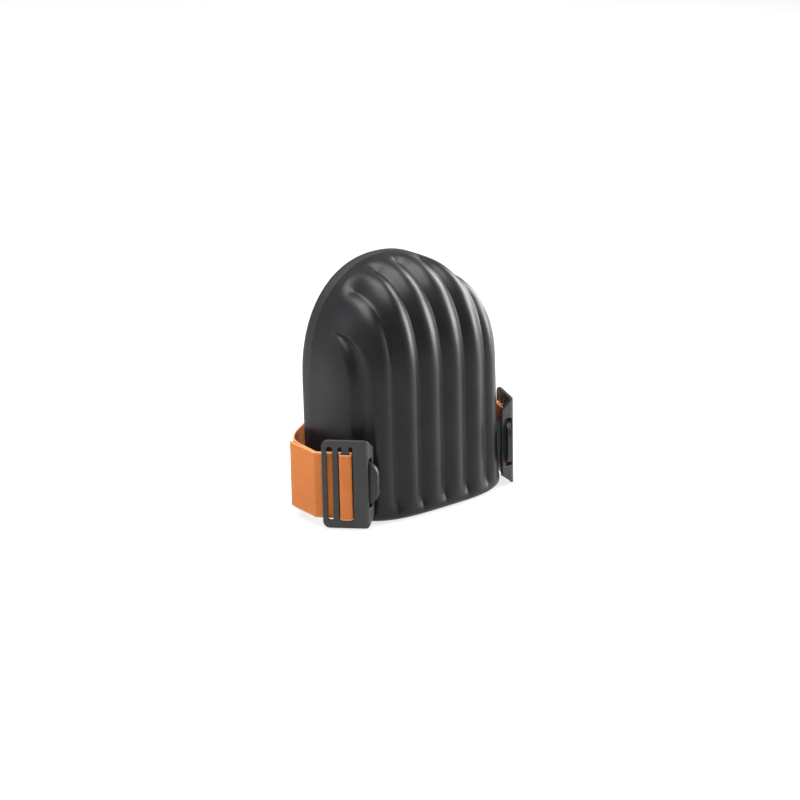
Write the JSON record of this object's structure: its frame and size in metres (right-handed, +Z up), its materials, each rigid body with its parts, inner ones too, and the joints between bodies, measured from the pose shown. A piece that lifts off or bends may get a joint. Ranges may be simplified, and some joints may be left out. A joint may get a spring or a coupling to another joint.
{
  "type": "knee pad",
  "caption": "Moulded knee pad with upright ribs, a soft cupped lining and an elastic strap held by hook-on slotted buckles.",
  "frame": {"origin": "middle of the open knee side, on the plane of the seam between pad and lining, level with the surface that the pad stands on", "axes": "+Z up along the pad, +X to the wearer's left when worn, -Y out of the ribbed front, +Y towards the leg"},
  "size_m": [0.1827, 0.1003, 0.1808],
  "materials": {
    "moulded_pad": "black moulded rubber foam skin, semi-matte, fine grain",
    "cushion_foam": "dark closed-cell foam, matte",
    "hook_plastic": "black moulded nylon, satin",
    "buckle_plastic": "black moulded nylon, satin",
    "elastic_strap": "orange woven elastic webbing"
  },
  "bodies": {
    "pad": {"outer_pad": "moulded_pad", "inner_cushion": "cushion_foam", "hook_left": "hook_plastic", "hook_right": "hook_plastic", "strap_back": "elastic_strap", "strap_tail_left": "elastic_strap", "strap_tail_right": "elastic_strap"},
    "left_buckle": {"buckle_left": "buckle_plastic", "strap_wrap_left": "elastic_strap"},
    "right_buckle": {"buckle_right": "buckle_plastic", "strap_wrap_right": "elastic_strap"}
  },
  "joints": [
    {"name": "left_buckle_swing", "type": "hinge", "parent": "pad", "child": "left_buckle", "pos_m": [-0.0618, -0.0603, 0.0343], "axis": [0, 0, 1], "range_deg": [-24, 24]},
    {"name": "right_buckle_swing", "type": "hinge", "parent": "pad", "child": "right_buckle", "pos_m": [0.0618, -0.0603, 0.0343], "axis": [0, 0, -1], "range_deg": [0, 45]}
  ]
}
